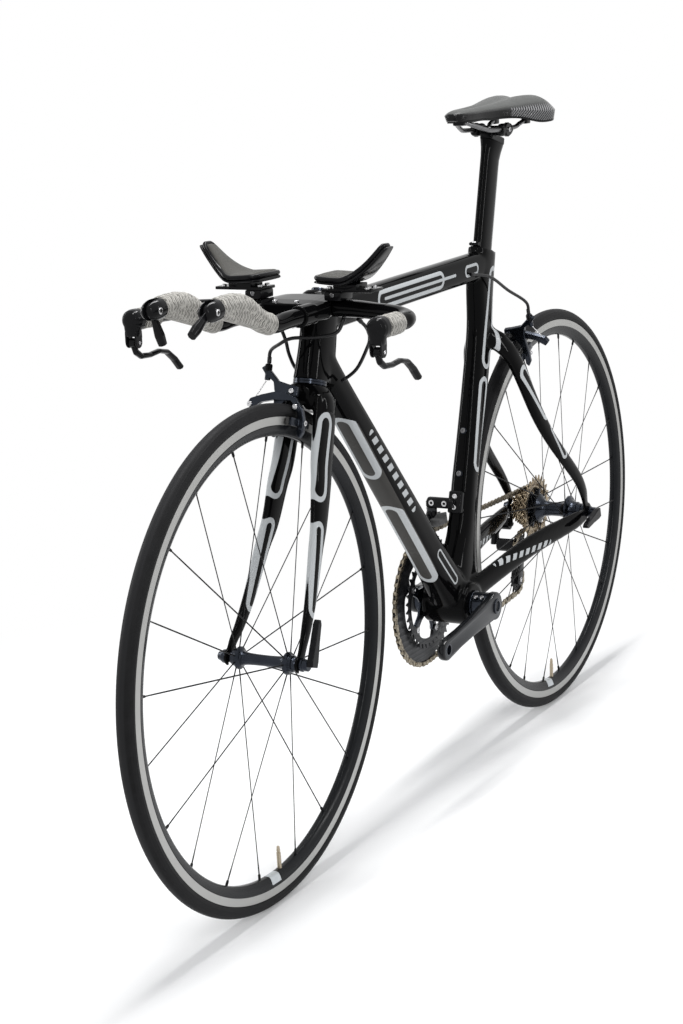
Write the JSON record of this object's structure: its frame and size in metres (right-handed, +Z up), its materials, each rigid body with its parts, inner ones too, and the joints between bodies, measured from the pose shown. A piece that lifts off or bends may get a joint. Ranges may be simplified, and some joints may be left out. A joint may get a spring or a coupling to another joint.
{
  "type": "time-trial bicycle",
  "caption": "Time-trial road bicycle with an aero carbon frame, deep-section spoked wheels, base bar, bent aero extensions with arm pads, rim brakes and derailleur gears, without pedals",
  "frame": {"origin": "on the ground, midway between the two axles and midway across", "axes": "+X forward, +Y to the rider's left, +Z up; metres"},
  "size_m": [1.628, 0.386, 1.0212],
  "materials": {
    "gloss_carbon": "gloss black lacquer over carbon fibre",
    "satin_black": "satin black",
    "anodised_black": "black anodised",
    "polished_metal": "polished",
    "chain_metal": "nickel-bronze plated",
    "tyre": "smooth slick",
    "tape": "mottled grey tape",
    "pad_cloth": "dark olive-grey cloth over foam",
    "saddle_skin": "smooth synthetic leather",
    "cable_skin": "black cable housing"
  },
  "bodies": {
    "frame_body": {"frame": "gloss_carbon", "seatpost": "gloss_carbon", "seatpost_clamp": "satin_black", "saddle_clamp": "anodised_black", "saddle_rails": "polished_metal", "saddle_shell": "satin_black", "saddle_cover": "saddle_skin", "bottom_bracket_cup_left": "anodised_black", "bottom_bracket_cup_right": "anodised_black", "headset_lower_bearing": "anodised_black", "rear_brake_cable": "cable_skin", "rear_axle": "anodised_black", "chain": "chain_metal", "front_derailleur_clamp": "anodised_black", "rear_derailleur_knuckle": "anodised_black"},
    "steering": {"fork": "gloss_carbon", "stem": "gloss_carbon", "base_bar": "gloss_carbon", "front_brake_cable": "cable_skin", "frame_cable_left": "cable_skin", "frame_cable_right": "cable_skin", "front_axle": "anodised_black", "bar_tape_left": "tape", "bar_tape_right": "tape", "extension_left": "gloss_carbon", "extension_right": "gloss_carbon", "extension_tape_left": "tape", "extension_tape_right": "tape", "arm_rest_left": "gloss_carbon", "arm_rest_right": "gloss_carbon", "arm_pad_left": "pad_cloth", "arm_pad_right": "pad_cloth", "brake_bracket_left": "satin_black", "brake_bracket_right": "satin_black"},
    "front_wheel": {"front_hub": "satin_black", "front_rim": "satin_black", "front_tyre": "tyre"},
    "rear_wheel": {"rear_hub": "satin_black", "rear_rim": "satin_black", "rear_tyre": "tyre"},
    "cranks": {"crank_arm_left": "gloss_carbon", "crank_arm_right": "gloss_carbon", "chainring_large": "anodised_black", "chainring_small": "anodised_black"},
    "cassette": {"cassette": "chain_metal"},
    "rear_derailleur": {"rear_derailleur_link": "anodised_black"},
    "derailleur_cage": {"rear_derailleur_cage": "polished_metal"},
    "guide_wheel": {"jockey_wheel_upper": "satin_black"},
    "tension_wheel": {"jockey_wheel_lower": "satin_black"},
    "front_derailleur": {"front_derailleur_cage": "polished_metal"},
    "left_brake_lever": {"brake_lever_left": "satin_black"},
    "right_brake_lever": {"brake_lever_right": "satin_black"},
    "left_shift_lever": {"shift_lever_left": "satin_black"},
    "right_shift_lever": {"shift_lever_right": "satin_black"},
    "front_brake_left": {"front_brake_arm_left": "anodised_black"},
    "front_brake_right": {"front_brake_arm_right": "anodised_black"},
    "rear_brake_left": {"rear_brake_arm_left": "anodised_black"},
    "rear_brake_right": {"rear_brake_arm_right": "anodised_black"},
    "front_skewer": {"front_skewer_lever": "satin_black"},
    "rear_skewer": {"rear_skewer_lever": "satin_black"}
  },
  "joints": [
    {"name": "steering_turn", "type": "hinge", "parent": "frame_body", "child": "steering", "pos_m": [0.32878, 0, 0.67061], "axis": [-0.3007, 0, 0.9537], "range_deg": [-60, 60], "deforming": ["frame_cable_left", "frame_cable_right"]},
    {"name": "front_wheel_spin", "type": "hinge", "parent": "steering", "child": "front_wheel", "pos_m": [0.48, 0, 0.334], "axis": [0, 1, 0], "continuous": true},
    {"name": "rear_wheel_spin", "type": "hinge", "parent": "frame_body", "child": "rear_wheel", "pos_m": [-0.48, 0, 0.334], "axis": [0, 1, 0], "continuous": true},
    {"name": "crank_spin", "type": "hinge", "parent": "frame_body", "child": "cranks", "pos_m": [-0.08971, 0, 0.27], "axis": [0, 1, 0], "continuous": true, "deforming": ["chain"]},
    {"name": "cassette_spin", "type": "hinge", "parent": "frame_body", "child": "cassette", "pos_m": [-0.48, 0, 0.334], "axis": [0, 1, 0], "continuous": true},
    {"name": "rear_shift", "type": "slide", "parent": "frame_body", "child": "rear_derailleur", "axis": [0, 1, 0], "range_m": [-0.01975, 0]},
    {"name": "cage_swing", "type": "hinge", "parent": "rear_derailleur", "child": "derailleur_cage", "pos_m": [-0.446, -0.04025, 0.274], "axis": [0, 1, 0], "range_deg": [-30, 12], "stiffness_Nm_per_rad": 1},
    {"name": "guide_wheel_spin", "type": "hinge", "parent": "derailleur_cage", "child": "guide_wheel", "pos_m": [-0.446, -0.04025, 0.274], "axis": [0, 1, 0], "continuous": true},
    {"name": "tension_wheel_spin", "type": "hinge", "parent": "derailleur_cage", "child": "tension_wheel", "pos_m": [-0.42864, -0.04025, 0.22076], "axis": [0, 1, 0], "continuous": true},
    {"name": "front_shift", "type": "slide", "parent": "frame_body", "child": "front_derailleur", "axis": [0, 1, 0], "range_m": [0, 0.0065]},
    {"name": "left_brake_lever_pull", "type": "hinge", "parent": "steering", "child": "left_brake_lever", "pos_m": [0.47267, 0.178, 0.74229], "axis": [0, 1, 0], "range_deg": [0, 22], "stiffness_Nm_per_rad": 2, "springref_deg": -11.46},
    {"name": "right_brake_lever_pull", "type": "hinge", "parent": "steering", "child": "right_brake_lever", "pos_m": [0.47267, -0.178, 0.74229], "axis": [0, 1, 0], "range_deg": [0, 22], "stiffness_Nm_per_rad": 2, "springref_deg": -11.46},
    {"name": "left_shift_lever_turn", "type": "hinge", "parent": "steering", "child": "left_shift_lever", "pos_m": [0.63674, 0.04, 0.80845], "axis": [0, 1, 0], "range_deg": [0, 60]},
    {"name": "right_shift_lever_turn", "type": "hinge", "parent": "steering", "child": "right_shift_lever", "pos_m": [0.63674, -0.04, 0.80845], "axis": [0, 1, 0], "range_deg": [-62, 0]},
    {"name": "front_brake_right_turn", "type": "hinge", "parent": "steering", "child": "front_brake_right", "pos_m": [0.36208, 0, 0.66643], "axis": [0.9537, 0, 0.3007], "range_deg": [0, 1.8]},
    {"name": "front_brake_left_turn", "type": "hinge", "parent": "steering", "child": "front_brake_left", "pos_m": [0.3687, 0.0143, 0.64544], "axis": [0.9537, 0, 0.3007], "range_deg": [-3.4, 0]},
    {"name": "rear_brake_left_turn", "type": "hinge", "parent": "frame_body", "child": "rear_brake_left", "pos_m": [-0.31696, 0, 0.64678], "axis": [-0.9026, 0, 0.4305], "range_deg": [0, 1.8]},
    {"name": "rear_brake_right_turn", "type": "hinge", "parent": "frame_body", "child": "rear_brake_right", "pos_m": [-0.32643, -0.0143, 0.62692], "axis": [-0.9026, 0, 0.4305], "range_deg": [-3.4, 0]},
    {"name": "front_skewer_swing", "type": "hinge", "parent": "steering", "child": "front_skewer", "pos_m": [0.48, 0.07165, 0.334], "axis": [-0.9537, 0, -0.3007], "range_deg": [0, 170]},
    {"name": "rear_skewer_swing", "type": "hinge", "parent": "frame_body", "child": "rear_skewer", "pos_m": [-0.48, 0.08665, 0.334], "axis": [0.2342, 0, 0.9722], "range_deg": [0, 170]}
  ],
  "couplings": [
    {"joint": "cassette_spin", "follows": "crank_spin", "ratio": 2.9412},
    {"joint": "guide_wheel_spin", "follows": "crank_spin", "ratio": -4.5455},
    {"joint": "tension_wheel_spin", "follows": "crank_spin", "ratio": 4.5455},
    {"joint": "rear_shift", "follows": "right_shift_lever_turn", "m_per_rad": 0.01825},
    {"joint": "front_shift", "follows": "left_shift_lever_turn", "m_per_rad": 0.0062},
    {"joint": "front_brake_right_turn", "follows": "left_brake_lever_pull", "ratio": 0.076},
    {"joint": "front_brake_left_turn", "follows": "left_brake_lever_pull", "ratio": -0.15},
    {"joint": "rear_brake_left_turn", "follows": "right_brake_lever_pull", "ratio": 0.076},
    {"joint": "rear_brake_right_turn", "follows": "right_brake_lever_pull", "ratio": -0.15}
  ]
}
